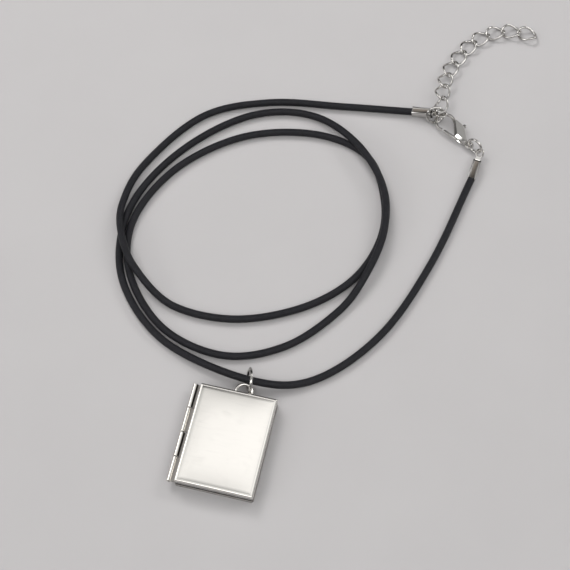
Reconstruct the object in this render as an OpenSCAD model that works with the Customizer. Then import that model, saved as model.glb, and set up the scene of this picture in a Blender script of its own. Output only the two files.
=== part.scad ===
// Locket necklace: a plain rectangular locket with a side hinge, hung by a ring on a long waxed cord.
// The cord's two crimps meet at a lobster clasp, with a short extender chain beside it.
// The piece lies on a flat surface. The origin is the centre of the locket's back, +Y towards the ring, +Z up.

/* [Locket] */
// Width of the locket, across from the hinge side
locket_w = 20.4; // [20:0.1:20.8]
// Height of the locket, towards the ring
locket_h = 26.9; // [26.5:0.1:27.3]
// Thickness of one half of the locket
half_t = 2.25; // [2.2:0.05:2.3]
// Gap between the two closed halves
seam = 0.1; // [0.05:0.05:0.15]
// Thickness of the sheet metal
sheet = 0.5; // [0.4:0.05:0.6]
// Height of the back's outer wall, below the lip that the cover closes over
back_wall = 1.05; // [0.9:0.05:1.1]
// How far the lip stands in from the back's outer wall
lip_in = 0.35; // [0.3:0.05:0.4]
// Radius of the locket's upright corners
corner_r = 0.6; // [0.4:0.1:0.9]
// How far the cover's face falls away at its rim
face_fall = 0.3; // [0.2:0.05:0.4]

/* [Hinge] */
// Diameter of the hinge barrel
barrel_d = 1.5; // [1.4:0.05:1.5]
// Distance from the locket's side to the hinge axis
barrel_off = 1.5; // [1.45:0.05:1.55]
// Diameter of the hinge pin
pin_d = 0.7; // [0.6:0.05:0.75]
// Radial clearance of pins in their bores
pin_clear = 0.05; // [0.03:0.01:0.08]
// Gap between neighbouring knuckles
knuckle_gap = 0.1; // [0.06:0.02:0.2]
// Thickness of the leaves that carry the knuckles
leaf_t = 0.4; // [0.3:0.05:0.4]

/* [Bail] */
// Radius of the hole in the soldered loop
loop_hole_r = 1.7; // [1.65:0.05:1.7]
// Wire of the soldered loop
loop_wire = 0.7; // [0.65:0.05:0.75]
// Mean radius of the ring that the cord runs through
bail_r = 3.05; // [3.05:0.05:3.1]
// Wire of that ring
bail_wire = 0.8; // [0.7:0.05:0.8]

/* [Cord] */
// Diameter of the cord
cord_d = 2; // [1.8:0.05:2]
// Diameter of the crimp folded over the cord's end
crimp_d = 2.2; // [2.1:0.05:2.3]
// Length of the crimp over the cord
crimp_len = 6; // [5.8:0.1:6.2]

/* [Clasp and chain] */
// Length of a chain link
link_len = 6.15; // [6.1:0.05:6.2]
// Width of a chain link
link_w = 4.7; // [4.6:0.05:4.7]
// Wire of a chain link
link_wire = 0.6; // [0.5:0.05:0.6]
// Twist of a link from its middle to each end, in degrees
link_twist = -40; // [-42:1:-38]
// Number of chain links
link_count = 10; // [8:1:10]
// Wire of the two jump rings
ring_wire = 0.7; // [0.6:0.05:0.7]
// Thickness of the clasp's body
clasp_t = 2.6; // [2.4:0.1:2.6]
// Thickness of the clasp's lever
lever_t = 0.8; // [0.7:0.05:0.85]

/* [Hidden] */
LINKS = [for (i = [1 : link_count]) str("chain_link_", i < 10 ? "0" : "", i)];
$fn = 64;

silver = "silver";
cord_colour = "#2B2B2E";
tiny = 0.01;

// Locket and hinge
locket_t = 2 * half_t + seam;
cover_z = half_t + seam;
axis_x = -locket_w / 2 - barrel_off;
axis_z = locket_t / 2;
bore_d = pin_d + 2 * pin_clear;
knuckle_pitch = locket_h / 4;
lip_t = 0.4;

// Soldered loop on the locket's top edge
loop_at = [0.85, locket_h / 2 + 0.95, 1.7];
loop_r = loop_hole_r + loop_wire / 2;
loop_root = lip_in + 0.2;

// Bail ring: its centre, its lean from upright, and its turn about the upright from facing along X
bail_at = [1.7, 17.15, 3.45];
bail_lean = 12;
bail_turn = 14;

// The cord's route, end to end: out of the first crimp, three turns, under the ring, into the second crimp
route = [
    [26.7, 107.9, 1.25], [7, 105.3, 1], [-13.5, 102, 1], [-31, 93.3, 1], [-42.8, 74.8, 1],
    [-45.3, 61, 2.1], [-42.9, 51.3, 3.2], [-36.5, 42, 3], [-24, 34.2, 1], [-7, 34, 1],
    [9.5, 41, 1], [21, 51.8, 1], [26, 65, 1], [24.8, 78, 1], [17.2, 90.8, 1],
    [1.5, 94.6, 1], [-18, 89.3, 1], [-33.8, 75.3, 1], [-41.2, 57, 1], [-37.5, 40.5, 1],
    [-24.5, 27.2, 1], [-7, 23.3, 1], [8.5, 29.7, 1], [20, 43, 1], [25, 55.5, 2.5],
    [26.7, 68.5, 3.1], [23.5, 81.5, 3.1], [13.5, 93.2, 3.1], [-0.5, 100.3, 1.1], [-16.5, 97.2, 1],
    [-30.7, 85.3, 1], [-40.7, 69, 1], [-43.4, 53, 1], [-38, 36.8, 1], [-22.8, 23.5, 1],
    [1.5, 17.7, 2.3], [17.8, 22, 1], [32, 38.3, 1], [41, 62, 1], [46.9, 89.9, 1.25],
];
rings_per_step = 2;
cord_sides = 8;

// Crimps: mouth, heading and rise of the axis in degrees
crimp_a_at = route[0];
crimp_a_turn = [2.5, 8.5];
crimp_b_at = route[len(route) - 1];
crimp_b_turn = [84, 4.5];
crimp_loop_at = crimp_len + 2.5;
crimp_loop_len = 3;
crimp_loop_w = 2.4;
crimp_wire = 0.5;

// Jump rings: place, mean radius, tilt from the surface and heading of the raised side
ring_a_at = [33.35, 107.45];
ring_a_r = 2.4;
ring_a_tilt = 60;
ring_a_high = 110;
ring_b_at = [46, 99.9];
ring_b_r = 2.15;
ring_b_tilt = 78;
ring_b_high = 61;
rest_gap = 0.07;

// Clasp, in its own plane: +X towards the hook, +Y towards the gate
clasp_at = [40.9, 105.1, 1.45];
clasp_heading = 140;
hook_at = [4.2, 1.9];
hook_r = 2.65;
hook_wire = 0.96;
hook_from = -133;
hook_to = 122;
eye_at = [-5.6, 1.3];
eye_r = 1;
eye_wire = 0.7;
pivot_at = [-0.6, 0.9];
rivet_d = 0.8;
slot_t = lever_t + 0.2;
gate_root = [-1.6, 3];
gate_tip = [2.03, 3.88];
gate_w = 0.85;
thumb_at = [-0.15, -1.6];
thumb_w = 1.15;

// Chain: the first link's centre and roll, and each link's heading and rise in degrees
link_pitch = link_len - 2 * link_wire - 0.15;
first_link = [34.3, 110.5, 3.65];
first_roll = -32;
link_headings = [96, 94, 87, 74, 68, 60, 44, 28, 10, -8];
link_rises = [-8, -9, -11, -4.5, -2, 0, 0, 0, 0, 0];
link_rings = 16;
link_sides = 6;

// Vectors and curves
function unit(v) = v / norm(v);
function aim(heading, rise) = [cos(heading) * cos(rise), sin(heading) * cos(rise), sin(rise)];

// A smooth curve through points a, b, c and d, at t from b to c
function smooth(a, b, c, d, t) =
    (2 * b + (c - a) * t + (2 * a - 5 * b + 4 * c - d) * t * t + (3 * b - a - 3 * c + d) * t * t * t) / 2;

// The cord's centre at u, counted in route points, never lower than the cord lies
function cord_at(u) =
    let (last = len(route) - 1,
         i = max(0, min(floor(u), last - 1)),
         before = i > 0 ? route[i - 1] : 2 * route[0] - route[1],
         after = i < last - 1 ? route[i + 2] : 2 * route[last] - route[last - 1],
         p = smooth(before, route[i], route[i + 1], after, u - i))
    [p.x, p.y, max(p.z, cord_d / 2)];

// Points of one ring of a tube, square to its direction, with flats to the side and underneath
function ring_points(centre, dir, radius, sides) =
    let (side = unit(cross(dir, [0, 0, 1])), up = cross(side, unit(dir)))
    [for (j = [0 : sides - 1])
        let (turn = (j + 0.5) * 360 / sides)
        centre + radius * (side * cos(turn) + up * sin(turn))];

// Centre line of a twisted oval link, at an angle round it
function link_at(turn) =
    let (phi = link_twist * cos(turn), half_w = (link_w - link_wire) / 2 * sin(turn))
    [(link_len - link_wire) / 2 * cos(turn), half_w * cos(phi), half_w * sin(phi)];

// Centre of link i, half a pitch along each link on the way
function link_centre(i) =
    i == 0 ? first_link
           : link_centre(i - 1) + link_pitch / 2 * (aim(link_headings[i - 1], link_rises[i - 1])
                                                    + aim(link_headings[i], link_rises[i]));

// Skin over a row of rings, either capped at both ends or closed on itself
module skin(rings, closed = false) {
    n = len(rings);
    sides = len(rings[0]);
    spans = closed ? n : n - 1;
    walls = [for (i = [0 : spans - 1], j = [0 : sides - 1])
        let (k = (i + 1) % n, next = (j + 1) % sides)
        each [[i * sides + j, i * sides + next, k * sides + next],
              [i * sides + j, k * sides + next, k * sides + j]]];
    caps = closed ? [] : [[for (j = [sides - 1 : -1 : 0]) j], [for (j = [0 : sides - 1]) (n - 1) * sides + j]];
    polyhedron(points = [for (ring = rings) each ring], faces = concat(walls, caps));
}

module ring(radius, wire, angle = 360) {
    rotate_extrude(angle = angle) translate([radius, 0]) circle(d = wire, $fn = 32);
}

module plate(w, h, r) {
    square([w - 2 * r, h], center = true);
    square([w, h - 2 * r], center = true);
    for (x = [-1, 1], y = [-1, 1]) translate([x * (w / 2 - r), y * (h / 2 - r)]) circle(r = r, $fn = 24);
}

// A flat bar with round ends between two points, its straight sides just inside the outline of its ends
module bar(from, to, w) {
    run = to - from;
    translate(from) rotate(atan2(run.y, run.x)) translate([0, tiny - w / 2]) square([norm(run), w - 2 * tiny]);
    for (end = [from, to]) translate(end) circle(d = w, $fn = 32);
}

// The hollow of one half, open on the side of the seam, with a wall of the given thickness round it
module half_hollow(wall) {
    linear_extrude(half_t - sheet + tiny) plate(locket_w - 2 * wall, locket_h - 2 * wall, corner_r / 2);
}

// The knuckles of one half, counted from the top, with the leaf that joins each to the side wall
module knuckles(places, leaf_z, root) {
    length = knuckle_pitch - knuckle_gap;
    for (i = places) {
        low = locket_h / 2 - (i + 1) * knuckle_pitch + knuckle_gap / 2;
        difference() {
            union() {
                translate([axis_x, low + length, axis_z]) rotate([90, 0, 0]) cylinder(d = barrel_d, h = length);
                translate([axis_x, low, leaf_z]) cube([barrel_off + root, length, leaf_t]);
            }
            translate([axis_x, low + length + 1, axis_z]) rotate([90, 0, 0]) cylinder(d = bore_d, h = length + 2);
        }
    }
}

module locket_back() {
    color(silver) {
        difference() {
            union() {
                linear_extrude(back_wall) plate(locket_w, locket_h, corner_r);
                linear_extrude(half_t) plate(locket_w - 2 * lip_in, locket_h - 2 * lip_in, corner_r / 2);
            }
            translate([0, 0, sheet]) half_hollow(lip_in + lip_t);
        }
        knuckles([0, 2], half_t - leaf_t, lip_in + lip_t / 2);
        translate(loop_at) ring(loop_r, loop_wire, 180);
        for (side = [-1, 1])
            translate([loop_at.x + side * loop_r, locket_h / 2 - loop_root, loop_at.z]) rotate([-90, 0, 0])
                cylinder(d = loop_wire, h = loop_at.y - locket_h / 2 + loop_root, $fn = 32);
    }
}

module locket_cover() {
    color(silver) {
        difference() {
            hull() {
                translate([0, 0, cover_z]) linear_extrude(half_t - face_fall) plate(locket_w, locket_h, corner_r);
                translate([0, 0, locket_t - face_fall / 2]) linear_extrude(tiny)
                    plate(locket_w - 0.3, locket_h - 0.3, corner_r);
                translate([0, 0, locket_t - tiny]) linear_extrude(tiny) plate(locket_w - 1.2, locket_h - 1.2, corner_r);
            }
            translate([0, 0, cover_z - tiny]) half_hollow(sheet);
        }
        knuckles([1, 3], cover_z, sheet / 2);
    }
}

module hinge_pin() {
    color(silver) translate([axis_x, locket_h / 2 - 0.1, axis_z]) rotate([90, 0, 0])
        cylinder(d = pin_d, h = locket_h - 0.2);
}

module bail_ring() {
    color(silver) translate(bail_at) rotate([0, 90 + bail_lean, bail_turn]) ring(bail_r, bail_wire);
}

// The cord's ends are cut square to the crimps, so that they meet their mouths face to face
module cord() {
    last = rings_per_step * (len(route) - 1);
    color(cord_colour) skin([for (k = [0 : last])
        let (u = k / rings_per_step,
             dir = k == 0 ? -aim(crimp_a_turn[0], crimp_a_turn[1])
                 : k == last ? aim(crimp_b_turn[0], crimp_b_turn[1])
                 : cord_at(u + 0.02) - cord_at(u - 0.02))
        ring_points(cord_at(u), dir, cord_d / 2, cord_sides)]);
}

// A crimp along +X from its mouth: the folded tube with its seam on top, the flat neck and the flat loop
module crimp() {
    seam_w = 0.2;
    seam_depth = 0.3;
    neck_w = 1.4;
    neck_t = 0.6;
    straight = crimp_loop_len - crimp_loop_w;
    loop_r = (crimp_loop_w - crimp_wire) / 2;
    difference() {
        rotate([0, 90, 0]) cylinder(d = crimp_d, h = crimp_len);
        translate([-1, -seam_w / 2, crimp_d / 2 - seam_depth]) cube([crimp_len + 2, seam_w, 1]);
    }
    translate([crimp_len - 0.5, -neck_w / 2, -neck_t / 2])
        cube([crimp_loop_at - crimp_loop_len / 2 - crimp_len + 0.5 + crimp_wire / 2, neck_w, neck_t]);
    translate([crimp_loop_at, 0, 0]) {
        for (side = [-1, 1]) {
            translate([side * straight / 2, 0, 0]) rotate(side * -90) ring(loop_r, crimp_wire, 180);
            translate([-straight / 2, side * loop_r, 0]) rotate([0, 90, 0])
                cylinder(d = crimp_wire, h = straight, $fn = 32);
        }
    }
}

module cord_end_a() {
    color(silver) translate(crimp_a_at) rotate([0, -crimp_a_turn[1], crimp_a_turn[0]]) crimp();
}

module cord_end_b() {
    color(silver) translate(crimp_b_at) rotate([0, -crimp_b_turn[1], crimp_b_turn[0]]) crimp();
}

// A ring that leans on its lowest point
module leaning_ring(at, radius, tilt, high) {
    z = ring_wire / 2 + rest_gap + radius * sin(tilt);
    color(silver) translate([at.x, at.y, z]) rotate([0, -tilt, high]) ring(radius, ring_wire);
}

module jump_ring_a() {
    leaning_ring(ring_a_at, ring_a_r, ring_a_tilt, ring_a_high);
}

module jump_ring_b() {
    leaning_ring(ring_b_at, ring_b_r, ring_b_tilt, ring_b_high);
}

module in_clasp() {
    translate(clasp_at) rotate(clasp_heading) children();
}

// A slab of the clasp with rounded rims, between its mid-plane's two sides
module pebble(points, thick) {
    rim = 0.45;
    hull() for (p = points) translate([p.x, p.y, 0]) {
        cylinder(r = p.z, h = thick - 2 * rim, center = true, $fn = 24);
        cylinder(r = p.z - rim * 0.6, h = thick, center = true, $fn = 24);
    }
}

// Corners of the clasp's body and of its neck, each with its rounding radius
clasp_corners = [[2.3, -0.4, 0.45], [-1.3, 2.3, 0.55], [-3.2, 2.1, 0.5], [-3.95, 1.45, 0.45], [-1.3, -0.05, 0.6], [0.2, -0.45, 0.6]];
neck_corners = [[-3.6, 1.4, 0.75], [-4.25, 1.3, 0.5]];
neck_t = 1.9;

// The space that the lever turns in, open to the gate's side and to the thumb's side
slot_outline = [[-2.4, 4.5], [-2.2, 2.9], [-1.8, 1.2], [-1.75, 0.4], [-2.15, -3], [0.7, -3], [0.55, 0.2], [1.2, 1], [2.9, 4.5]];

module clasp_body() {
    color(silver) in_clasp() {
        difference() {
            union() {
                pebble(clasp_corners, clasp_t);
                pebble(neck_corners, neck_t);
            }
            linear_extrude(slot_t, center = true) polygon(slot_outline);
            translate([pivot_at.x, pivot_at.y, -clasp_t]) cylinder(d = rivet_d + 0.04, h = 2 * clasp_t);
            translate([eye_at.x, eye_at.y, 0]) cylinder(r = eye_r, h = clasp_t, center = true);
        }
        translate([hook_at.x, hook_at.y, 0]) rotate(hook_from) ring(hook_r, hook_wire, hook_to - hook_from);
        translate([eye_at.x, eye_at.y, 0]) ring(eye_r, eye_wire);
    }
}

module clasp_lever() {
    color(silver) in_clasp() difference() {
        linear_extrude(lever_t, center = true) {
            bar(thumb_at, pivot_at, thumb_w);
            bar(pivot_at, gate_root, gate_w);
            bar(gate_root, gate_tip, gate_w);
            translate(pivot_at) circle(d = 1.9);
        }
        translate([pivot_at.x, pivot_at.y, -clasp_t]) cylinder(d = rivet_d + 2 * pin_clear, h = 2 * clasp_t);
    }
}

module clasp_rivet() {
    color(silver) in_clasp() translate([pivot_at.x, pivot_at.y, 0]) cylinder(d = rivet_d, h = clasp_t, center = true);
}

module chain_link(i) {
    roll = i == 0 ? first_roll : 0;
    color(silver) translate(link_centre(i)) rotate([roll, -link_rises[i], link_headings[i]])
        skin([for (k = [0 : link_rings - 1])
            let (turn = k * 360 / link_rings)
            ring_points(link_at(turn), link_at(turn + 2) - link_at(turn - 2), link_wire / 2, link_sides)], closed = true);
}

locket_back();
locket_cover();
hinge_pin();
bail_ring();
cord();
cord_end_a();
cord_end_b();
jump_ring_a();
jump_ring_b();
clasp_body();
clasp_lever();
clasp_rivet();
for (i = [0 : link_count - 1]) {
    chain_link(i);
}
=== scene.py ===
"""Looks of the locket necklace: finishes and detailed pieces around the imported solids, and the stage."""

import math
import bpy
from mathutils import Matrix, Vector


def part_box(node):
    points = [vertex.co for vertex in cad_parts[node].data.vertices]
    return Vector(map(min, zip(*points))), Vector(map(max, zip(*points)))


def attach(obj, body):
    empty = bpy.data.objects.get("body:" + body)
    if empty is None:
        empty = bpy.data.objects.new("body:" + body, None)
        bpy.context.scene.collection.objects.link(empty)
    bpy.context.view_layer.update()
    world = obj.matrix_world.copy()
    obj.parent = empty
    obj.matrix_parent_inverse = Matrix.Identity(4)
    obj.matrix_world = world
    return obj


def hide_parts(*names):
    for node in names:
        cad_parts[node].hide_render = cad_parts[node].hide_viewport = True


bl_info = {
    "name": "Locket Necklace",
    "version": (1, 0, 0),
    "blender": (4, 5, 0),
    "location": "3D View > Sidebar > Necklace",
    "description": "Builds a rectangular locket on a waxed cord, lying on a pale table",
    "category": "Add Mesh",
}

import bmesh
import bpy
from mathutils import Euler, Matrix, Quaternion, Vector

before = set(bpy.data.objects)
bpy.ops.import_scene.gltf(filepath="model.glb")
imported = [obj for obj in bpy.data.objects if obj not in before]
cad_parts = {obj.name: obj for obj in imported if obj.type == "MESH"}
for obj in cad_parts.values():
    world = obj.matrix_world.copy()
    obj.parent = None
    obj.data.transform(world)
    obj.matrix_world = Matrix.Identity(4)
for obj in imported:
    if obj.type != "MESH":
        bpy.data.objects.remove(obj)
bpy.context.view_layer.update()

MM = 0.001
UP = Vector((0, 0, 1))

# Lengths in metres, or turns in radians, that differ by less than this count as the same
TINY = 1e-6

# An edge is a rim where its faces turn by more than this, in radians
RIM_TURN = 1

# A face looks a way where its normal has at least this share of it
FACING = 0.999

# The cord's route, end to end: out of the first crimp, three turns, under the ring, into the second one
ROUTE = [
    (0.0267, 0.1079, 0.00125), (0.007, 0.1053, 0.001), (-0.0135, 0.102, 0.001), (-0.031, 0.0933, 0.001),
    (-0.0428, 0.0748, 0.001), (-0.0453, 0.061, 0.0021), (-0.0429, 0.0513, 0.0032), (-0.0365, 0.042, 0.003),
    (-0.024, 0.0342, 0.001), (-0.007, 0.034, 0.001), (0.0095, 0.041, 0.001), (0.021, 0.0518, 0.001),
    (0.026, 0.065, 0.001), (0.0248, 0.078, 0.001), (0.0172, 0.0908, 0.001), (0.0015, 0.0946, 0.001),
    (-0.018, 0.0893, 0.001), (-0.0338, 0.0753, 0.001), (-0.0412, 0.057, 0.001), (-0.0375, 0.0405, 0.001),
    (-0.0245, 0.0272, 0.001), (-0.007, 0.0233, 0.001), (0.0085, 0.0297, 0.001), (0.02, 0.043, 0.001),
    (0.025, 0.0555, 0.0025), (0.0267, 0.0685, 0.0031), (0.0235, 0.0815, 0.0031), (0.0135, 0.0932, 0.0031),
    (-0.0005, 0.1003, 0.0011), (-0.0165, 0.0972, 0.001), (-0.0307, 0.0853, 0.001), (-0.0407, 0.069, 0.001),
    (-0.0434, 0.053, 0.001), (-0.038, 0.0368, 0.001), (-0.0228, 0.0235, 0.001), (0.0015, 0.0177, 0.0023),
    (0.0178, 0.022, 0.001), (0.032, 0.0383, 0.001), (0.041, 0.062, 0.001), (0.0469, 0.0899, 0.00125),
]

# Heading and rise of each crimp from its mouth, in degrees
CRIMP_TURNS = {"cord_end_a": (2.5, 8.5), "cord_end_b": (84, 4.5)}


def linear(hex_colour):
    """An sRGB hex colour as linear red, green, blue."""
    parts = [int(hex_colour[i:i + 2], 16) / 255 for i in (1, 3, 5)]
    return [c / 12.92 if c <= 0.04045 else ((c + 0.055) / 1.055) ** 2.4 for c in parts]


def rgba(colour):
    """A property's colour with full alpha."""
    return (*colour, 1)


def length_setting(name, description, default, low, high):
    """A length in metres that the panel shows, given in millimetres."""
    return bpy.props.FloatProperty(
        name=name, description=description, default=default * MM, min=low * MM, max=high * MM, precision=5,
        subtype="DISTANCE", unit="LENGTH")


def colour_setting(name, description, default):
    """A colour that the panel shows, given as sRGB hex."""
    return bpy.props.FloatVectorProperty(
        name=name, description=description, default=linear(default), min=0, max=1, subtype="COLOR")


class NecklaceCordSettings(bpy.types.PropertyGroup):
    diameter: length_setting("Diameter", "Diameter of the cord", 2, 1, 3)
    thread: length_setting("Thread", "Spacing of the plaited threads", 0.42, 0.1, 1)
    dye: colour_setting("Dye", "Colour of the dyed cotton", "#111114")
    wax: colour_setting("Wax", "Colour where the wax lies thick", "#28282E")


class NecklaceLocketSettings(bpy.types.PropertyGroup):
    sheet: length_setting("Sheet", "Thickness of the sheet metal", 0.5, 0.3, 0.8)
    crown: length_setting("Crown", "How far the cover's face rises in its middle", 0.15, 0, 0.3)
    rim: length_setting("Rim", "Radius of the cover's rounded rim", 0.45, 0.2, 0.5)
    plating: colour_setting("Plating", "Colour of the polished plating", "#F1EEE9")
    tarnish: colour_setting("Tarnish", "Colour of the plating in corners and joints", "#8C8883")


class NecklaceFindingSettings(bpy.types.PropertyGroup):
    nickel: colour_setting("Nickel", "Colour of the plated findings", "#D0CECB")
    ring_wire: length_setting("Ring wire", "Wire of the two jump rings", 0.7, 0.5, 0.9)
    link_wire: length_setting("Link wire", "Wire of the chain's links", 0.65, 0.4, 0.7)


class NecklaceStageSettings(bpy.types.PropertyGroup):
    table: colour_setting("Table", "Colour of the table", "#BBB9BA")
    key: bpy.props.FloatProperty(
        name="Key light", description="Power of the light overhead", default=6.1, min=0, max=50,
        unit="POWER")
    fill: bpy.props.FloatProperty(
        name="Fill light", description="Strength of the light from all round", default=1.04, min=0, max=5)
    lens: bpy.props.FloatProperty(
        name="Lens", description="Focal length of the camera in millimetres", default=88.42, min=20, max=200)


def add(tree, kind, inputs=None, **settings):
    """Adds a node with its settings. An input is a value, or the socket that is linked to it."""
    made = tree.nodes.new(kind)
    for name, value in settings.items():
        setattr(made, name, value)
    for name, value in (inputs or {}).items():
        if isinstance(value, bpy.types.NodeSocket):
            tree.links.new(value, made.inputs[name])
        else:
            made.inputs[name].default_value = value
    return made


def new_material(name):
    """A material with an empty node tree, and the tree."""
    material = bpy.data.materials.new(name)
    material.use_nodes = True
    material.node_tree.nodes.clear()
    return material, material.node_tree


def close_material(tree, shader):
    """Links the shader to the material's output."""
    add(tree, "ShaderNodeOutputMaterial", {"Surface": shader.outputs["BSDF"]})


def waxed_cotton(settings):
    """Waxed cotton cord, plaited from fine threads and drawn through black wax.
    The wax fills most of the plait, so it shows as a faint diagonal speckle with a soft sheen."""
    slope = 0.7
    wax_spot = 1.6 * MM
    wax_share = 1.4
    material, tree = new_material("waxed_cotton_cord")
    around = math.tau * round(math.pi * settings.diameter / settings.thread)
    place = add(tree, "ShaderNodeUVMap", uv_map="along")
    split = add(tree, "ShaderNodeSeparateXYZ", {"Vector": place.outputs["UV"]})
    across = add(tree, "ShaderNodeMath", {0: split.outputs["X"], 1: around}, operation="MULTIPLY")
    threads = []
    for lean in (slope, -slope):
        slant = add(tree, "ShaderNodeMath", {
            0: split.outputs["Y"], 1: lean * around, 2: across.outputs[0]}, operation="MULTIPLY_ADD")
        threads.append(add(tree, "ShaderNodeMath", {0: slant.outputs[0]}, operation="SINE").outputs[0])
    plait = add(tree, "ShaderNodeMath", {0: threads[0], 1: threads[1]}, operation="MULTIPLY")
    space = add(tree, "ShaderNodeTexCoord")
    wax = add(tree, "ShaderNodeTexNoise", {
        "Vector": space.outputs["Object"], "Scale": 1 / wax_spot, "Detail": 4.0, "Roughness": 0.65})
    uneven = add(tree, "ShaderNodeMath", {
        0: wax.outputs["Fac"], 1: wax_share, 2: plait.outputs[0]}, operation="MULTIPLY_ADD")
    shown = add(tree, "ShaderNodeMapRange", {"Value": uneven.outputs[0], "From Min": 0.2, "From Max": 1.6})
    colour = add(tree, "ShaderNodeMix", {0: shown.outputs[0], 6: rgba(settings.dye), 7: rgba(settings.wax)},
                 data_type="RGBA")
    gloss = add(tree, "ShaderNodeMapRange", {"Value": wax.outputs["Fac"], "To Min": 0.65, "To Max": 0.42})
    relief = add(tree, "ShaderNodeBump", {
        "Strength": 0.5, "Distance": 0.05 * MM, "Height": uneven.outputs[0]})
    close_material(tree, add(tree, "ShaderNodeBsdfPrincipled", {
        "Base Color": colour.outputs[2], "Roughness": gloss.outputs[0], "Normal": relief.outputs[0],
        "Specular IOR Level": 0.3}))
    return material


def polished_plating(name, colour, tarnish, roughness, wave):
    """Polished silver-toned plating on stamped brass: a bright mirror with slow waves left by the die,
    hairline scratches from wear, and a greyer tone where tarnish stays."""
    wave_length = 9 * MM
    stain_size = 4 * MM
    stained = 0.12
    hair_size = (0.12 / MM, 5 / MM, 5 / MM)
    roughened = 0.05
    material, tree = new_material(name)
    space = add(tree, "ShaderNodeTexCoord").outputs["Object"]
    slow = add(tree, "ShaderNodeTexNoise", {"Vector": space, "Scale": 1 / wave_length, "Detail": 1.0})
    hairs = []
    for turn in (0.4, 1.9):
        lay = add(tree, "ShaderNodeMapping", {"Vector": space, "Rotation": (0, 0, turn), "Scale": hair_size})
        noise = add(tree, "ShaderNodeTexNoise", {"Vector": lay.outputs[0], "Scale": 1.0, "Detail": 2.0})
        hairs.append(noise.outputs["Fac"])
    hair = add(tree, "ShaderNodeMath", {0: hairs[0], 1: hairs[1]}, operation="MAXIMUM")
    scratch = add(tree, "ShaderNodeMapRange", {"Value": hair.outputs[0], "From Min": 0.62, "From Max": 0.8})
    stain = add(tree, "ShaderNodeTexNoise", {
        "Vector": space, "Scale": 1 / stain_size, "Detail": 5.0, "Roughness": 0.6})
    dull = add(tree, "ShaderNodeMapRange", {
        "Value": stain.outputs["Fac"], "From Min": 0.55, "From Max": 0.85, "To Max": stained})
    tone = add(tree, "ShaderNodeMix", {0: dull.outputs[0], 6: rgba(colour), 7: rgba(tarnish)},
               data_type="RGBA")
    gloss = add(tree, "ShaderNodeMapRange", {
        "Value": scratch.outputs[0], "To Min": roughness, "To Max": roughness + roughened})
    waves = add(tree, "ShaderNodeBump", {"Strength": 1.0, "Distance": wave, "Height": slow.outputs["Fac"]})
    lines = add(tree, "ShaderNodeBump", {
        "Strength": 0.05, "Distance": 0.01 * MM, "Height": scratch.outputs[0], "Normal": waves.outputs[0]})
    close_material(tree, add(tree, "ShaderNodeBsdfPrincipled", {
        "Base Color": tone.outputs[2], "Metallic": 1.0, "Roughness": gloss.outputs[0],
        "Normal": lines.outputs[0]}))
    return material


def plain_metal(name, colour, metallic, roughness):
    """Plated brass in one even tone, from grey to near black, for metal where polish doesn't reach or has
    worn off, and for painted shade.
    """
    material, tree = new_material(name)
    close_material(tree, add(tree, "ShaderNodeBsdfPrincipled", {
        "Base Color": rgba(colour), "Metallic": metallic, "Roughness": roughness}))
    return material


def coated_card(settings):
    """Coated card on a table: pale grey, matte, with a barely visible mottle."""
    spot = 30 * MM
    paler = 0.06
    white = (1, 1, 1, 1)
    material, tree = new_material("coated_card_table")
    space = add(tree, "ShaderNodeTexCoord")
    mottle = add(tree, "ShaderNodeTexNoise", {
        "Vector": space.outputs["Object"], "Scale": 1 / spot, "Detail": 3.0})
    mix = add(tree, "ShaderNodeMapRange", {"Value": mottle.outputs["Fac"], "To Max": paler})
    tone = add(tree, "ShaderNodeMix", {0: mix.outputs[0], 6: rgba(settings.table), 7: white},
               data_type="RGBA")
    close_material(tree, add(tree, "ShaderNodeBsdfPrincipled", {
        "Base Color": tone.outputs[2], "Roughness": 0.85, "Specular IOR Level": 0.2}))
    return material


def locket_metal():
    """The locket's plating, made once: a soft mirror with slow waves."""
    settings = bpy.context.scene.necklace_locket
    return bpy.data.materials.get("plated_locket") or polished_plating(
        "plated_locket", settings.plating, settings.tarnish, roughness=0.14, wave=0.03 * MM)


def finding_metal():
    """The plating of the clasp, rings, crimps and chain, made once: a clear, bright mirror."""
    scene = bpy.context.scene
    return bpy.data.materials.get("plated_finding") or polished_plating(
        "plated_finding", scene.necklace_finding.nickel, scene.necklace_locket.tarnish, roughness=0.07,
        wave=0.004 * MM)


def dark_metal():
    """The dark band across a crimp, made once: painted shade, standing for a slit too deep for light to come
    back.
    """
    return bpy.data.materials.get("painted_shade_seam") or plain_metal(
        "painted_shade_seam", linear("#0B0B0A"), metallic=0, roughness=0.8)


def painted_shade_metal():
    """The locket's metal where its halves and its hinge lie close together, made once: painted shade, too
    dark to shine, standing for the shade in the gaps between the parts.
    """
    return bpy.data.materials.get("painted_shade_metal") or plain_metal(
        "painted_shade_metal", linear("#33302D"), metallic=0.7, roughness=0.5)


def dull_metal():
    """The metal inside the locket, made once: grey and unpolished."""
    tarnish = bpy.context.scene.necklace_locket.tarnish
    return bpy.data.materials.get("dull_inside") or plain_metal(
        "dull_inside", tarnish, metallic=1, roughness=0.38)


def leaf_metal():
    """The hinge's leaves and the back's outer walls, made once: a grey darker than the plating, as painted
    shade where they lie low beside the cover.
    """
    return bpy.data.materials.get("painted_shade_leaf") or plain_metal(
        "painted_shade_leaf", linear("#A09C98"), metallic=0.9, roughness=0.35)


def worn_metal():
    """The sunk faces of the crimps, made once: nickel worn to a brownish grey."""
    return bpy.data.materials.get("worn_nickel") or plain_metal(
        "worn_nickel", linear("#A0978F"), metallic=1, roughness=0.32)


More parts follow.
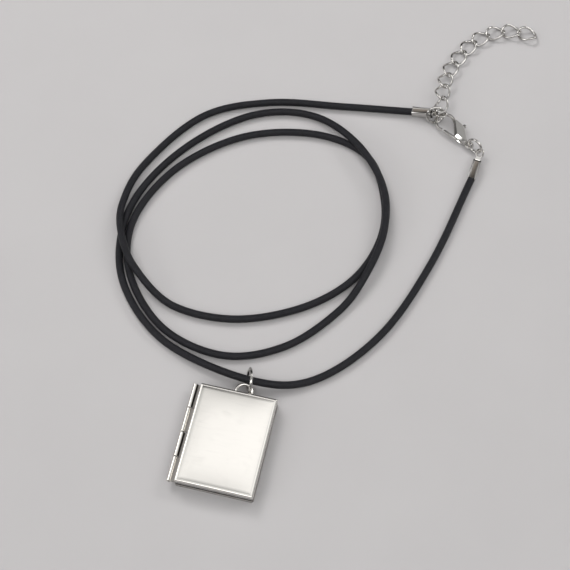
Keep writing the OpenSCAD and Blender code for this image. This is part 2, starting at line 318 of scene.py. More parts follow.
def to_piece(bm, name, body, materials, nodes=(), sharp=40):
    """Makes the bmesh a piece of the necklace that rides on a body and may stand for CAD nodes."""
    mesh = bpy.data.meshes.new(name)
    bm.to_mesh(mesh)
    bm.free()
    mesh.polygons.foreach_set("use_smooth", [True] * len(mesh.polygons))
    mesh.set_sharp_from_angle(angle=math.radians(sharp))
    for material in materials:
        mesh.materials.append(material)
    piece = bpy.data.objects.new(name, mesh)
    bpy.context.scene.collection.objects.link(piece)
    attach(piece, body)
    if nodes:
        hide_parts(*nodes)
    return piece


def turned(place, turns):
    """A place and turns in degrees about X, then Y, then Z, as one matrix."""
    return Matrix.Translation(place) @ Euler([math.radians(t) for t in turns]).to_matrix().to_4x4()


def aim(heading, rise):
    """The direction of a heading and rise in degrees."""
    heading, rise = math.radians(heading), math.radians(rise)
    return Vector((math.cos(heading) * math.cos(rise), math.sin(heading) * math.cos(rise), math.sin(rise)))


def add_tube(bm, path, radius, sides, directions):
    """Extrudes a circle along the path, square to the directions, with flat ends.
    Gives its rows of vertices."""
    rows = []
    for centre, ahead in zip(path, directions):
        side = UP.cross(ahead).normalized()
        over = ahead.cross(side).normalized()
        if not rows:
            row = bmesh.ops.create_circle(bm, segments=sides, radius=radius)["verts"]
        else:
            last = rows[-1]
            edges = [bm.edges.get((a, b)) for a, b in zip(last, last[1:] + last[:1])]
            grown = bmesh.ops.extrude_edge_only(bm, edges=edges)
            fresh = {v for v in grown["geom"] if isinstance(v, bmesh.types.BMVert)}
            row = [next(e.other_vert(v) for e in v.link_edges if e.other_vert(v) in fresh) for v in last]
        for k, vert in enumerate(row):
            turn = math.tau * k / sides
            vert.co = centre + radius * (side * math.cos(turn) + over * math.sin(turn))
        rows.append(row)
    bm.faces.new(rows[0])
    bm.faces.new(rows[-1])
    return rows


def add_ring(bm, radius, wire, start=0, turn=math.tau, sides=14, steps=56):
    """A ring of round wire about Z, whole or open with flat ends. Gives its vertices."""
    before = set(bm.verts)
    upright = Matrix.Translation((radius, 0, 0)) @ Matrix.Rotation(math.pi / 2, 4, "X")
    place = Matrix.Rotation(start, 4, "Z") @ upright
    first = bmesh.ops.create_circle(bm, segments=sides, radius=wire / 2, matrix=place)["verts"]
    edges = list({e for v in first for e in v.link_edges})
    whole = turn > math.tau - TINY
    bmesh.ops.spin(bm, geom=first + edges, cent=(0, 0, 0), axis=UP, angle=turn, steps=steps, use_merge=whole)
    fresh = [v for v in bm.verts if v not in before]
    if not whole:
        rims = {e for v in fresh for e in v.link_edges if e.is_boundary}
        bmesh.ops.edgeloop_fill(bm, edges=list(rims))
    return fresh


def add_block(bm, middle, size):
    """A block of that size about its middle. Gives its vertices."""
    place = Matrix.Translation(middle) @ Matrix.Diagonal((*size, 1))
    return bmesh.ops.create_cube(bm, size=1, matrix=place)["verts"]


def add_rod(bm, radius, length, place, sides):
    """A round rod about its middle, along the Z of its place."""
    bmesh.ops.create_cone(bm, cap_ends=True, segments=sides, radius1=radius, radius2=radius, depth=length,
                          matrix=place)


def round_off(bm, edges, offset, segments):
    """Rounds the edges off, or cuts them flat with one segment."""
    bmesh.ops.bevel(bm, geom=edges, offset=offset, segments=segments, profile=0.5, affect="EDGES",
                    material=-1)


def cut_across(bm, x):
    """Cuts the faces along the plane at x, so that a material can end there."""
    bmesh.ops.bisect_plane(bm, geom=[*bm.verts, *bm.edges, *bm.faces], plane_co=(x, 0, 0),
                           plane_no=(1, 0, 0))


def move(bm, verts, matrix):
    """Moves the vertices by the matrix."""
    bmesh.ops.transform(bm, matrix=matrix, verts=verts)


def bend_to(verts, radius, path):
    """Carries a ring of wire onto a closed path, given as a function of the angle round it."""
    nudge = math.radians(2)
    for vert in verts:
        angle = math.atan2(vert.co.y, vert.co.x)
        out, lift = math.hypot(vert.co.x, vert.co.y) - radius, vert.co.z
        ahead = (path(angle + nudge) - path(angle - nudge)).normalized()
        side = ahead.cross(UP).normalized()
        vert.co = path(angle) + side * out + side.cross(ahead) * lift


def add_pebble(bm, corners, low, high, rim, steps=3, sides=24):
    """A slab over round corners of (x, y, radius), with its rims rounded. A corner may have a fourth value,
    a rim of its own on the upper side."""
    smallest = 0.01 * MM
    points = []
    for x, y, radius, *own in corners:
        edge = own[0] if own else rim
        for k in range(steps + 1):
            turn = math.pi / 2 * k / steps
            inset, depth = edge * (1 - math.sin(turn)), edge * (1 - math.cos(turn))
            for z in [high - depth] if own else [low + depth, high - depth]:
                made = bmesh.ops.create_circle(bm, segments=sides, radius=max(radius - inset, smallest),
                                               matrix=Matrix.Translation((x, y, z)))["verts"]
                edges = {e for v in made for e in v.link_edges}
                bmesh.ops.delete(bm, geom=list(edges), context="EDGES_FACES")
                points += made
    hull = bmesh.ops.convex_hull(bm, input=points)
    left = {v for v in hull["geom_interior"] + hull["geom_unused"] if isinstance(v, bmesh.types.BMVert)}
    bmesh.ops.delete(bm, geom=list(left), context="VERTS")


def smooth_curve(a, b, c, d, t):
    """A smooth curve through points a, b, c and d, at t from b to c."""
    return (2 * b + (c - a) * t + (2 * a - 5 * b + 4 * c - d) * t * t + (3 * b - a - 3 * c + d) * t ** 3) / 2


def cord_line(radius, steps):
    """The cord's centre line through the route, never lower than the cord lies."""
    points = [Vector(p) for p in ROUTE]
    padded = [2 * points[0] - points[1], *points, 2 * points[-1] - points[-2]]
    line = []
    for a, b, c, d in zip(padded, padded[1:], padded[2:], padded[3:]):
        line += [smooth_curve(a, b, c, d, k / steps) for k in range(steps)]
    line.append(points[-1])
    return [Vector((p.x, p.y, max(p.z, radius))) for p in line]


class NECKLACE_OT_stage(bpy.types.Operator):
    """Adds the camera, the table and the soft light"""

    bl_idname = "necklace.stage"
    bl_label = "Stage"

    camera_at = Vector((0.0458, -0.1075, 0.3415))
    camera_to = Vector((0.0039, 0.0473, 0))
    camera_roll = math.radians(-1.9)
    table_size = 6
    table_cells = 8
    key_at = Vector((-0.54, 0.76, 0.9))
    key_to = Vector((0, 0.06, 0))
    key_size = 0.5
    key_colour = (1, 0.985, 0.97)
    room_colour = (1, 0.995, 0.985, 1)

    # The walls' light at the floor and overhead, and how high up a direction counts as overhead
    walls_low = 0.1
    walls_high = 0.47
    overhead = 0.85

    # The lowest height that the patches' slopes are worked out at
    lowest = 0.1

    # Patches of the room: middle and size as slopes from the upright, how far full strength reaches, gain
    patches = [
        ((-0.1, 0.32), (0.6, 0.23), 0, 0.74),
        ((-0.33, 0.52), (0.3, 0.26), 0, -0.9),
        ((-0.1, 2.2), (2.5, 1.7), 0.6, -0.3),
        ((-1, 0.35), (0.5, 0.3), 0.5, 3),
        ((1.3, 1.1), (0.9, 0.4), 0.6, 6),
        ((-2, -1.1), (0.9, 0.6), 0.5, 6),
        ((0.4, -0.5), (1.1, 0.4), 0.5, 2),
    ]

    def execute(self, context):
        settings = context.scene.necklace_stage
        self.add_camera(context, settings)
        self.add_table(context, settings)
        self.add_key(context, settings)
        self.add_room(context, settings)
        context.scene.view_settings.view_transform = "Standard"
        return {"FINISHED"}

    def add_camera(self, context, settings):
        data = bpy.data.cameras.new("photo_camera")
        data.sensor_width = 36
        data.lens = settings.lens
        data.clip_start = 0.01
        camera = bpy.data.objects.new("photo_camera", data)
        context.scene.collection.objects.link(camera)
        camera.rotation_mode = "QUATERNION"
        camera.location = self.camera_at
        look = (self.camera_to - self.camera_at).to_track_quat("-Z", "Y")
        camera.rotation_quaternion = look @ Quaternion((0, 0, 1), self.camera_roll)
        context.scene.camera = camera

    def add_table(self, context, settings):
        bm = bmesh.new()
        bmesh.ops.create_grid(bm, x_segments=self.table_cells, y_segments=self.table_cells,
                              size=self.table_size / 2)
        mesh = bpy.data.meshes.new("table")
        bm.to_mesh(mesh)
        bm.free()
        mesh.materials.append(coated_card(settings))
        table = bpy.data.objects.new("table", mesh)
        context.scene.collection.objects.link(table)

    def add_key(self, context, settings):
        data = bpy.data.lights.new("softbox", "AREA")
        data.shape = "SQUARE"
        data.size = self.key_size
        data.energy = settings.key
        data.color = self.key_colour
        light = bpy.data.objects.new("softbox", data)
        context.scene.collection.objects.link(light)
        light.location = self.key_at
        light.visible_glossy = False
        light.rotation_mode = "QUATERNION"
        light.rotation_quaternion = (self.key_to - self.key_at).to_track_quat("-Z", "Y")

    def add_room(self, context, settings):
        """A pale room: walls that darken downwards, with brighter and darker patches."""
        world = bpy.data.worlds.new("pale_room")
        world.use_nodes = True
        tree = world.node_tree
        tree.nodes.clear()
        way = add(tree, "ShaderNodeTexCoord").outputs["Generated"]
        up = add(tree, "ShaderNodeSeparateXYZ", {"Vector": way}).outputs["Z"]
        height = add(tree, "ShaderNodeMath", {0: up, 1: self.lowest}, operation="MAXIMUM").outputs[0]
        divisor = add(tree, "ShaderNodeCombineXYZ", {"X": height, "Y": height, "Z": height})
        flat = add(tree, "ShaderNodeVectorMath", {0: way, 1: divisor.outputs[0]}, operation="DIVIDE")
        walls = add(tree, "ShaderNodeMapRange", {
            "Value": up, "From Min": 0.0, "From Max": self.overhead, "To Min": self.walls_low,
            "To Max": self.walls_high}, interpolation_type="SMOOTHSTEP")
        light = walls.outputs[0]
        for middle, size, inner, gain in self.patches:
            away = add(tree, "ShaderNodeVectorMath", {0: flat.outputs[0], 1: (*middle, 1)},
                       operation="SUBTRACT")
            scaled = add(tree, "ShaderNodeVectorMath", {0: away.outputs[0], 1: (*size, 1)},
                         operation="DIVIDE")
            far = add(tree, "ShaderNodeVectorMath", {0: scaled.outputs[0]}, operation="LENGTH")
            patch = add(tree, "ShaderNodeMapRange", {
                "Value": far.outputs["Value"], "From Min": inner, "From Max": 1.0, "To Min": gain,
                "To Max": 0.0}, interpolation_type="SMOOTHSTEP")
            light = add(tree, "ShaderNodeMath", {0: light, 1: patch.outputs[0]}, operation="ADD").outputs[0]
        dimmed = add(tree, "ShaderNodeMath", {0: light, 1: settings.fill}, operation="MULTIPLY")
        sky = add(tree, "ShaderNodeBackground", {"Color": self.room_colour, "Strength": dimmed.outputs[0]})
        add(tree, "ShaderNodeOutputWorld", {"Surface": sky.outputs[0]})
        context.scene.world = world


class NECKLACE_OT_cord(bpy.types.Operator):
    """Adds the waxed cord"""

    bl_idname = "necklace.cord"
    bl_label = "Cord"

    steps = 12
    sides = 16

    def execute(self, context):
        settings = context.scene.necklace_cord
        radius = settings.diameter / 2
        line = cord_line(radius, self.steps)
        directions = [(b - a).normalized() for a, b in zip(line, line[2:])]
        directions = [-aim(*CRIMP_TURNS["cord_end_a"]), *directions, aim(*CRIMP_TURNS["cord_end_b"])]
        bm = bmesh.new()
        rows = add_tube(bm, line, radius, self.sides, directions)
        self.map_along(bm, rows, line, math.pi * settings.diameter)
        bmesh.ops.recalc_face_normals(bm, faces=bm.faces)
        cord = to_piece(bm, "cord_of_waxed_cotton", "locket", [waxed_cotton(settings)], ["cord"],
                        sharp=60)
        return {"FINISHED"}

    def map_along(self, bm, rows, line, girth):
        """UVs round the cord once and along it in the same scale, so that the plait follows it."""
        layer = bm.loops.layers.uv.new("along")
        run = [0.0]
        for a, b in zip(line, line[1:]):
            run.append(run[-1] + (b - a).length / girth)
        where = {v: (k, i) for i, row in enumerate(rows) for k, v in enumerate(row)}
        for face in bm.faces:
            turns = [where[loop.vert][0] for loop in face.loops]
            wraps = len(turns) == 4 and max(turns) - min(turns) > 1
            for loop in face.loops:
                k, i = where[loop.vert]
                loop[layer].uv = ((self.sides if wraps and k == 0 else k) / self.sides, run[i])


class NECKLACE_OT_locket(bpy.types.Operator):
    """Adds the locket's cover and back with their hinge knuckles"""

    bl_idname = "necklace.locket"
    bl_label = "Locket"

    side = 10.2 * MM
    half_h = 13.45 * MM
    seam_low = 2.25 * MM
    seam_high = 2.35 * MM
    back_wall = 1.05 * MM
    lip_in = 0.35 * MM
    lip_t = 0.4 * MM
    corner = 0.35 * MM
    groove = 0.04 * MM
    barrel_r = 0.75 * MM
    roll_t = 0.3 * MM
    roll_gap = math.radians(12)
    leaf_t = 0.4 * MM
    leaf_in = 0.1 * MM
    knuckle_gap = 0.28 * MM
    knuckle_rim = 0.06 * MM
    loop_at = Vector((0.85, 14.4, 1.7)) * MM
    loop_r = 2.1 * MM
    loop_wire = 0.85 * MM
    loop_in = 0.2 * MM
    notch = 0.45 * MM
    fold = 0.1 * MM
    hem = 0.05 * MM
    tab_x = -8.5 * MM
    tab_z = 0.5 * MM
    tab_r = 0.38 * MM
    tab_depth = 0.7 * MM

    # The cover's grid: cells across and along, where its groove starts in radii of the rim, the lines
    # round the groove, and the groove's middle and half width
    cells = (26, 32)
    groove_from = 1.15
    groove_lines = (0, 0.15 * MM, 0.3 * MM, 0.45 * MM, 1 * MM)
    groove_mid = 0.15 * MM
    groove_half = 0.2 * MM

    # Places in the back's list of metals, and in the knuckles'
    back_tarnished, back_dull, back_grey = 1, 2, 3
    leaf_grey, barrel_tarnished = 1, 2

    # Where the rolled sheet's seam lies round each barrel
    cover_seam = math.radians(75)
    back_seam = math.radians(-80)

    # A barrel is painted near black, as painted shade from the wall, where it looks towards the wall by more
    # than this. No face reaches the cover's.
    cover_shade_from = 2
    back_shade_from = 0.45

    def execute(self, context):
        settings = context.scene.necklace_locket
        self.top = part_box("locket_cover")[1].z
        low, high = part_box("hinge_pin")
        self.axis = (low + high) / 2
        self.pitch = 2 * self.half_h / 4
        self.make_cover(settings)
        self.make_back(settings)
        self.make_knuckles("cover_knuckles", "cover", places=(1, 3), leaf_z=self.seam_high,
                           root=self.side - settings.sheet / 2, seam=self.cover_seam,
                           shade_from=self.cover_shade_from)
        self.make_knuckles("back_knuckles", "locket", places=(0, 2), leaf_z=self.seam_low - self.leaf_t,
                           root=self.side - self.lip_in - self.lip_t / 2, seam=self.back_seam,
                           shade_from=self.back_shade_from)
        self.make_loop()
        return {"FINISHED"}

    def make_cover(self, settings):
        """A stamped tray, face up: a crowned face, a shallow groove inside the rim, and upright walls."""
        bm = bmesh.new()
        nx, ny = self.cells
        bmesh.ops.create_grid(bm, x_segments=nx, y_segments=ny, size=1)
        for vert in bm.verts:
            x = self.grid_line(round((vert.co.x + 1) / 2 * nx), nx, self.side, settings.rim)
            y = self.grid_line(round((vert.co.y + 1) / 2 * ny), ny, self.half_h, settings.rim)
            vert.co = (x, y, self.top + self.face_height(x, y, settings))
        walls = bmesh.ops.extrude_edge_only(bm, edges=[e for e in bm.edges if e.is_boundary])["geom"]
        for vert in (g for g in walls if isinstance(g, bmesh.types.BMVert)):
            vert.co.z = self.seam_high
        self.face_up(bm)
        uprights = [e for e in bm.edges if abs(e.verts[0].co.z - e.verts[1].co.z) > MM
                    and abs(e.verts[0].co.x) > self.side - TINY
                    and abs(e.verts[0].co.y) > self.half_h - TINY]
        round_off(bm, uprights, self.corner, segments=3)
        rim = [e for e in bm.edges if len(e.link_faces) == 2 and e.calc_face_angle() > RIM_TURN]
        round_off(bm, rim, settings.rim, segments=4)
        bmesh.ops.remove_doubles(bm, verts=bm.verts, dist=TINY)
        self.face_up(bm)
        piece = to_piece(bm, "cover_of_plated_brass", "cover", [locket_metal(), dull_metal()],
                         ["locket_cover"], sharp=30)
        wall = piece.modifiers.new("wall", "SOLIDIFY")
        wall.thickness = settings.sheet
        wall.offset = -1
        wall.material_offset = 1

    def face_up(self, bm):
        """Turns the open tray's faces outwards."""
        bmesh.ops.recalc_face_normals(bm, faces=bm.faces)
        if max(bm.faces, key=lambda f: f.calc_area()).normal.z < 0:
            bmesh.ops.reverse_faces(bm, faces=bm.faces)

    def grid_line(self, index, count, half, rim):
        """Where a line of the face's grid lies: close together inside the rim, even in the middle."""
        insets = [0] + [rim * self.groove_from + line for line in self.groove_lines]
        near = min(index, count - index)
        if near < len(insets):
            place = half - insets[near]
            return -place if index < count - index else place
        inner = half - insets[-1]
        return inner * (2 * (index - len(insets) + 1) / (count - 2 * len(insets) + 2) - 1)

    def face_height(self, x, y, settings):
        """The face's height below the top: the crown's fall, and the groove inside the rim."""
        u, v = x / self.side, y / self.half_h
        crown = settings.crown * ((1 - u ** 4) * (1 - v ** 4) - 1)
        inset = min(self.side - abs(x), self.half_h - abs(y)) - settings.rim * self.groove_from
        dip = max(0, 1 - abs(inset - self.groove_mid) / self.groove_half)
        return crown - self.groove * dip

    def make_back(self, settings):
        """A folded tray with an open corner, a folded tab at another, and an upright lip inside its wall."""
        bm = bmesh.new()
        add_block(bm, (0, 0, self.back_wall / 2), (2 * self.side, 2 * self.half_h, self.back_wall))
        uprights = [e for e in bm.edges if abs(e.verts[0].co.z - e.verts[1].co.z) > TINY]
        opened = [e for e in uprights if e.verts[0].co.x > 0 > e.verts[0].co.y]
        round_off(bm, [e for e in uprights if e not in opened], self.corner, segments=3)
        round_off(bm, opened, self.notch, segments=1)
        rims = [e for e in bm.edges if abs(e.verts[0].co.z - e.verts[1].co.z) < TINY]
        round_off(bm, rims, self.fold, segments=2)
        bmesh.ops.recalc_face_normals(bm, faces=bm.faces)
        top = [self.widest(bm, UP)]
        bmesh.ops.inset_region(bm, faces=top, thickness=self.lip_in - self.fold, use_even_offset=True)
        bmesh.ops.remove_doubles(bm, verts=top[0].verts, dist=self.lip_in)
        top = [self.widest(bm, UP)]
        self.push(bm, top, UP * (self.seam_low - self.back_wall))
        bmesh.ops.inset_region(bm, faces=top, thickness=self.lip_t, use_even_offset=True)
        self.push(bm, top, UP * (settings.sheet - self.seam_low))
        cut_across(bm, self.tab_x)
        self.tint_back(bm)
        self.fold_back(bm)
        bmesh.ops.recalc_face_normals(bm, faces=bm.faces)
        metals = [locket_metal(), painted_shade_metal(), dull_metal(), leaf_metal()]
        to_piece(bm, "back_of_plated_brass", "locket", metals, ["locket_back"], sharp=30)

    def tint_back(self, bm):
        """The back's metals: dull inside, near-black painted shade on the lip and the rim beside it under
        the cover, and a grey outside that is also painted shade.
        """
        inner_x = self.side - self.lip_in - self.lip_t / 2
        inner_y = self.half_h - self.lip_in - self.lip_t / 2
        for face in bm.faces:
            centre = face.calc_center_median()
            if abs(centre.x) < inner_x and abs(centre.y) < inner_y and centre.z > self.fold:
                face.material_index = self.back_dull
            # Painted shade: the lip and the ledge beside it, under the cover's edge, get the near-black
            # metal.
            elif self.back_wall - TINY < centre.z < self.seam_low - TINY:
                face.material_index = self.back_tarnished
            # The outer walls get the darker grey, as painted shade.
            elif centre.z > self.fold:
                face.material_index = self.back_grey

    def fold_back(self, bm):
        """The open corner, and the hollow at another corner with its tab of rolled sheet."""
        corner = self.widest(bm, Vector((1, -1, 0)).normalized())
        front = [f for f in bm.faces
                 if -f.normal.y > FACING and f.calc_center_median().y < TINY - self.half_h]
        tab = min(front, key=lambda f: f.calc_center_median().x)
        folds = ((corner, Vector((-1, 1, 0)) * self.notch), (tab, Vector((0, self.tab_depth, 0))))
        for face, inward in folds:
            faces = [face]
            bmesh.ops.inset_region(bm, faces=faces, thickness=self.hem, use_even_offset=True)
            self.push(bm, faces, inward)
            # Painted shade: the faces round each hollow get the near-black metal.
            for near in {g for e in faces[0].edges for g in e.link_faces}:
                near.material_index = self.back_tarnished
        middle = ((self.tab_x - self.side) / 2, self.tab_depth / 2 - self.half_h, self.tab_z)
        add_rod(bm, self.tab_r, self.tab_depth - 2 * self.hem, turned(middle, (90, 0, 0)), sides=20)

    def widest(self, bm, way):
        """The widest face that looks that way."""
        return max(bm.faces, key=lambda f: f.calc_area() * (f.normal.dot(way) > FACING))

    def push(self, bm, faces, vec):
        """Extrudes the faces along the vector, and keeps the moved faces in the list."""
        left = list(faces)
        grown = bmesh.ops.extrude_face_region(bm, geom=faces)["geom"]
        bmesh.ops.delete(bm, geom=left, context="FACES_ONLY")
        faces[:] = [g for g in grown if isinstance(g, bmesh.types.BMFace)]
        bmesh.ops.translate(bm, verts=list({v for f in faces for v in f.verts}), vec=vec)

    def make_knuckles(self, name, body, places, leaf_z, root, seam, shade_from):
        """Strips of sheet rolled round the pin, each with a seam along it and a flat leaf to the wall.
        What looks towards the wall more than the given limit gets the near-black metal, as painted shade."""
        bm = bmesh.new()
        length = self.pitch - self.knuckle_gap
        for place in places:
            low = self.half_h - (place + 1) * self.pitch + self.knuckle_gap / 2
            ends = [bm.verts.new((self.axis.x + out, low, self.axis.z))
                    for out in (self.barrel_r - self.roll_t, self.barrel_r)]
            edge = bm.edges.new(ends)
            centre = (self.axis.x, low, self.axis.z)
            start = Matrix.Rotation(-seam - self.roll_gap / 2, 3, "Y")
            bmesh.ops.rotate(bm, verts=ends, cent=centre, matrix=start)
            made = bmesh.ops.spin(bm, geom=[*ends, edge], cent=centre, axis=(0, 1, 0),
                                  angle=self.roll_gap - math.tau, steps=28)
            last = [g for g in made["geom_last"] if isinstance(g, bmesh.types.BMVert)]
            strip = self.linked([f for v in last for f in v.link_faces])
            grown = bmesh.ops.extrude_face_region(bm, geom=strip)["geom"]
            fresh = [g for g in grown if isinstance(g, bmesh.types.BMVert)]
            bmesh.ops.translate(bm, verts=fresh, vec=(0, length, 0))
            reach = self.axis.x + self.barrel_r - self.leaf_in
            middle = ((reach - root) / 2, low + length / 2, leaf_z + self.leaf_t / 2)
            leaf = add_block(bm, middle, (-root - reach, length, self.leaf_t))
            # The leaf is painted a darker grey, as shade between the barrel and the wall.
            for face in {f for v in leaf for f in v.link_faces}:
                face.material_index = self.leaf_grey
        bmesh.ops.recalc_face_normals(bm, faces=bm.faces)
        # Painted shade: the barrel's side towards the wall is painted near black.
        for face in bm.faces:
            if face.normal.x > shade_from and face.normal.z > 0 and not face.material_index:
                face.material_index = self.barrel_tarnished
        rims = [e for e in bm.edges
                if e.calc_face_angle(0) > RIM_TURN and e.verts[0].co.y == e.verts[1].co.y]
        round_off(bm, rims, self.knuckle_rim, segments=2)
        metals = [locket_metal(), leaf_metal(), painted_shade_metal()]
        to_piece(bm, name, body, metals, sharp=20)

    def linked(self, faces):
        """All faces that hang together with these."""
        found = set(faces)
        edge = list(faces)
        while edge:
            near = {f for g in edge for e in g.edges for f in e.link_faces} - found
            found |= near
            edge = list(near)
        return list(found)

    def make_loop(self):
        """The round wire loop soldered to the back's top edge."""
        bm = bmesh.new()
        add_ring(bm, self.loop_r, self.loop_wire, start=0, turn=math.pi, steps=28)
        leg = self.loop_at.y - self.half_h + self.lip_in + self.loop_in
        for side in (-1, 1):
            place = turned((side * self.loop_r, -leg / 2, 0), (90, 0, 0))
            add_rod(bm, self.loop_wire / 2, leg, place, sides=14)
        bmesh.ops.translate(bm, verts=bm.verts, vec=self.loop_at)
        bmesh.ops.recalc_face_normals(bm, faces=bm.faces)
        to_piece(bm, "soldered_loop", "locket", [locket_metal()])


class NECKLACE_OT_rings(bpy.types.Operator):
    """Adds the ring on the locket's loop and the two jump rings of the clasp"""

    bl_idname = "necklace.rings"
    bl_label = "Rings"

    bail_at = Vector((1.7, 17.15, 3.45)) * MM
    bail_r = 3.05 * MM
    bail_wire = 0.8 * MM
    bail_turns = (0, 102, 14)
    rest_gap = 0.07 * MM

    # The jump rings: x and y of the middle, radius, tilt from the table and heading of the raised side
    leaning = {
        "jump_ring_a": (33.35 * MM, 107.45 * MM, 2.4 * MM, 60, 110),
        "jump_ring_b": (46 * MM, 99.9 * MM, 2.15 * MM, 78, 61),
    }

    # The slit where a ring's wire was cut
    cut = math.radians(3)

    def execute(self, context):
        wire = context.scene.necklace_finding.ring_wire
        bail_place = turned(self.bail_at, self.bail_turns)
        self.make("bail_ring_of_wire", "bail_ring", self.bail_r, self.bail_wire, bail_place)
        for node, (x, y, radius, tilt, high) in self.leaning.items():
            z = wire / 2 + self.rest_gap + radius * math.sin(math.radians(tilt))
            self.make(node + "_of_wire", node, radius, wire, turned((x, y, z), (0, -tilt, high)))
        return {"FINISHED"}

    def make(self, name, node, radius, wire, place):
        bm = bmesh.new()
        verts = add_ring(bm, radius, wire, math.pi + self.cut, math.tau - self.cut)
        move(bm, verts, place)
        bmesh.ops.recalc_face_normals(bm, faces=bm.faces)
        to_piece(bm, name, "locket", [finding_metal()], [node])


class NECKLACE_OT_crimps(bpy.types.Operator):
    """Adds the two folded crimps at the cord's ends"""

    bl_idname = "necklace.crimps"
    bl_label = "Crimps"

    length = 6 * MM
    width = 2.2 * MM
    fold = 0.35 * MM
    sink = 0.15 * MM
    flange = 0.22 * MM
    seam = (5.4 * MM, 5.75 * MM)
    neck_w = 1.4 * MM
    neck_t = 0.5 * MM
    loop_at = 8.5 * MM
    loop_r = 0.95 * MM
    loop_wire = 0.5 * MM
    straight = 0.3 * MM
    overlap = 0.05 * MM
    end_rim = 0.08 * MM

    # Places in a crimp's list of metals
    worn, dark = 1, 2

    def execute(self, context):
        for node, at in (("cord_end_a", ROUTE[0]), ("cord_end_b", ROUTE[-1])):
            heading, rise = CRIMP_TURNS[node]
            self.make(node, turned(at, (0, -rise, heading)))
        return {"FINISHED"}

    def make(self, node, place):
        bm = bmesh.new()
        add_block(bm, (self.length / 2, 0, 0), (self.length, self.width, self.width))
        folds = [e for e in bm.edges if abs(e.verts[0].co.x - e.verts[1].co.x) > MM]
        round_off(bm, folds, self.fold, segments=6)
        bmesh.ops.recalc_face_normals(bm, faces=bm.faces)
        face = [f for f in bm.faces if f.normal.z > FACING]
        bmesh.ops.inset_region(bm, faces=face, thickness=self.flange, depth=-self.sink, use_even_offset=True)
        face[0].material_index = self.worn
        for x in self.seam:
            cut_across(bm, x)
        # Painted shade: the band between the two cuts gets the near-black metal, standing for the shadowed
        # gap by the loop.
        for band in bm.faces:
            if self.seam[0] < band.calc_center_median().x < self.seam[1]:
                band.material_index = self.dark
        ends = [e for e in bm.edges
                if e.calc_face_angle(0) > RIM_TURN and abs(e.verts[0].co.x - e.verts[1].co.x) < TINY]
        round_off(bm, ends, self.end_rim, segments=2)
        run = self.loop_at - self.loop_r - self.straight - self.length + 2 * self.overlap
        middle = (self.length + run / 2 - self.overlap, 0, 0)
        add_block(bm, middle, (run, self.neck_w, self.neck_t))
        ring = add_ring(bm, self.loop_r, self.loop_wire, steps=40)
        for vert in ring:
            vert.co.x += self.loop_at + math.copysign(self.straight, vert.co.x)
        bmesh.ops.recalc_face_normals(bm, faces=bm.faces)
        move(bm, bm.verts, place)
        metals = [finding_metal(), worn_metal(), dark_metal()]
        to_piece(bm, node + "_of_folded_sheet", "locket", metals, [node])


class NECKLACE_OT_clasp(bpy.types.Operator):
    """Adds the lobster clasp and its sprung lever"""

    bl_idname = "necklace.clasp"
    bl_label = "Clasp"

    place = turned(Vector((40.9, 105.1, 1.45)) * MM, (0, 0, 140))
    half_t = 1.31 * MM
    slot = 0.5 * MM
    neck_half = 0.95 * MM
    lever_half = 0.4 * MM
    rim = 0.45 * MM
    lever_rim = 0.25 * MM
    filler_rim = 0.05 * MM
    filler_in = 0.2 * MM

    # Outlines in millimetres: x, y and radius of each round corner, and its own rim where it has one
    corners = [(2.3, -0.4, 0.45), (-1.3, 2.3, 0.55), (-3.2, 2.1, 0.5), (-3.95, 1.45, 0.45),
               (-1.3, -0.05, 0.6), (0.2, -0.45, 0.6)]
    crown = [(2.3, -0.4, 0.45), (-1.35, 1.95, 0.9, 0.7), (-3.1, 1.75, 0.85, 0.7), (-3.95, 1.45, 0.45),
             (-1.3, -0.05, 0.6), (0.2, -0.45, 0.6)]
    crown_rim = 0.25
    neck = [(-3.6, 1.4, 0.75), (-4.25, 1.3, 0.5)]
    root = [(2.2, -0.35, 0.35), (1.3, -0.3, 0.4)]
    tail = [(-2.9, 1.9, 0.35), (-3.6, 1.4, 0.4), (-2.5, 0.9, 0.35)]
    hook_at = (4.2, 1.9)
    hook_r = 2.65
    hook_wire = 0.96
    hook_from, hook_to = -133, 122
    eye_at = (-5.6, 1.3)
    eye_r = 1
    eye_wire = 0.7
    gate = [[(-1.6, 3, 0.42), (2.03, 3.88, 0.42)], [(-0.6, 0.9, 0.45), (-1.6, 3, 0.45)],
            [(-0.15, -1.6, 0.57), (-0.6, 0.9, 0.57)], [(-0.6, 0.9, 0.95)]]

    def execute(self, context):
        self.make_body()
        self.make_lever()
        return {"FINISHED"}

    def slab(self, bm, corners, low, high, rim, steps=3):
        """One slab of the clasp, from corners in millimetres."""
        add_pebble(bm, [[value * MM for value in corner] for corner in corners], low, high, rim, steps)

    def make_body(self):
        bm = bmesh.new()
        self.slab(bm, self.crown, self.slot, self.half_t, self.crown_rim * MM, steps=1)
        self.slab(bm, self.corners, -self.half_t, -self.slot, self.rim)
        filler = self.slot + self.filler_in
        for corners in (self.root, self.tail):
            self.slab(bm, corners, -filler, filler, self.filler_rim)
        self.slab(bm, self.neck, -self.neck_half, self.neck_half, self.rim)
        hook = add_ring(bm, self.hook_r * MM, self.hook_wire * MM, math.radians(self.hook_from),
                        math.radians(self.hook_to - self.hook_from), steps=40)
        bmesh.ops.translate(bm, verts=hook, vec=(self.hook_at[0] * MM, self.hook_at[1] * MM, 0))
        eye = add_ring(bm, self.eye_r * MM, self.eye_wire * MM)
        bmesh.ops.translate(bm, verts=eye, vec=(self.eye_at[0] * MM, self.eye_at[1] * MM, 0))
        bmesh.ops.recalc_face_normals(bm, faces=bm.faces)
        move(bm, bm.verts, self.place)
        to_piece(bm, "clasp_of_cast_metal", "locket", [finding_metal()], ["clasp_body"],
                 sharp=20)

    def make_lever(self):
        bm = bmesh.new()
        for corners in self.gate:
            self.slab(bm, corners, -self.lever_half, self.lever_half, self.lever_rim)
        bmesh.ops.recalc_face_normals(bm, faces=bm.faces)
        move(bm, bm.verts, self.place)
        to_piece(bm, "lever_of_cast_metal", "lever", [finding_metal()], ["clasp_lever"],
                 sharp=35)


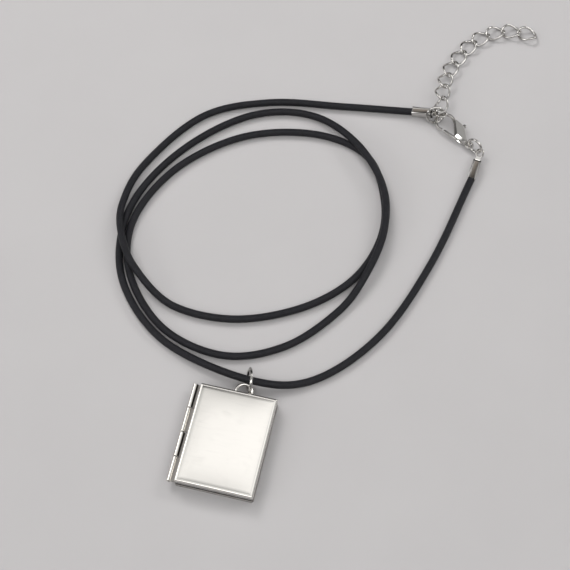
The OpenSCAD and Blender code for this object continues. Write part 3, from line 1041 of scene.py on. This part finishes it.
class NECKLACE_OT_chain(bpy.types.Operator):
    """Adds the twisted links of the extender chain"""

    bl_idname = "necklace.chain"
    bl_label = "Chain"

    length = 6.15 * MM
    width = 4.7 * MM
    pitch = 4.8 * MM
    twist = math.radians(-40)
    first = Vector((34.3, 110.5, 3.65)) * MM
    first_roll = -32

    # How each link lies, in degrees, from the jump ring to the chain's free end
    headings = [96, 94, 87, 74, 68, 60, 44, 28, 10, -8]
    rises = [-8, -9, -11, -4.5, -2, 0, 0, 0, 0, 0]

    def execute(self, context):
        wire = context.scene.necklace_finding.link_wire
        centre = self.first
        for i, (heading, rise) in enumerate(zip(self.headings, self.rises)):
            if i:
                before = aim(self.headings[i - 1], self.rises[i - 1])
                centre = centre + (before + aim(heading, rise)) * self.pitch / 2
            bm = bmesh.new()
            verts = add_ring(bm, self.width / 2, wire, sides=12, steps=48)
            bend_to(verts, self.width / 2, lambda angle: self.link_at(angle, wire))
            move(bm, verts, turned(centre, (0 if i else self.first_roll, -rise, heading)))
            bmesh.ops.recalc_face_normals(bm, faces=bm.faces)
            number = f"{i + 1:02d}"
            to_piece(bm, f"link_{number}_of_wire", "locket", [finding_metal()], [f"chain_link_{number}"])
        return {"FINISHED"}

    def link_at(self, angle, wire):
        """Centre line of a twisted oval link, at an angle round it."""
        turn = self.twist * math.cos(angle)
        along = (self.length - wire) / 2 * math.cos(angle)
        half = (self.width - wire) / 2 * math.sin(angle)
        return Vector((along, half * math.cos(turn), half * math.sin(turn)))


class NECKLACE_PT_panel(bpy.types.Panel):
    """The necklace's settings and its operators"""

    bl_idname = "NECKLACE_PT_panel"
    bl_label = "Locket Necklace"
    bl_space_type = "VIEW_3D"
    bl_region_type = "UI"
    bl_category = "Necklace"

    def draw(self, context):
        for group in SETTINGS:
            column = self.layout.column(align=True)
            settings = getattr(context.scene, group)
            for name in settings.__annotations__:
                column.prop(settings, name)
        for operator in OPERATORS:
            self.layout.operator(operator.bl_idname)


SETTINGS = {
    "necklace_cord": NecklaceCordSettings,
    "necklace_locket": NecklaceLocketSettings,
    "necklace_finding": NecklaceFindingSettings,
    "necklace_stage": NecklaceStageSettings,
}
OPERATORS = [
    NECKLACE_OT_stage,
    NECKLACE_OT_cord,
    NECKLACE_OT_locket,
    NECKLACE_OT_rings,
    NECKLACE_OT_crimps,
    NECKLACE_OT_clasp,
    NECKLACE_OT_chain,
]
CLASSES = [*SETTINGS.values(), *OPERATORS, NECKLACE_PT_panel]


def register():
    for cls in CLASSES:
        bpy.utils.register_class(cls)
    for name, group in SETTINGS.items():
        setattr(bpy.types.Scene, name, bpy.props.PointerProperty(type=group))


def unregister():
    for name in SETTINGS:
        delattr(bpy.types.Scene, name)
    for cls in reversed(CLASSES):
        bpy.utils.unregister_class(cls)


def main():
    register()
    bpy.ops.necklace.stage()
    bpy.ops.necklace.cord()
    bpy.ops.necklace.locket()
    bpy.ops.necklace.rings()
    bpy.ops.necklace.crimps()
    bpy.ops.necklace.clasp()
    bpy.ops.necklace.chain()
    # The hinge pin is dull steel. Its dull grey also stands as painted shade in the joints between the
    # knuckles.
    for name, metal in (("hinge_pin", dull_metal()), ("clasp_rivet", finding_metal())):
        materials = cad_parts[name].data.materials
        materials.clear()
        materials.append(metal)


if __name__ == "__main__":
    main()
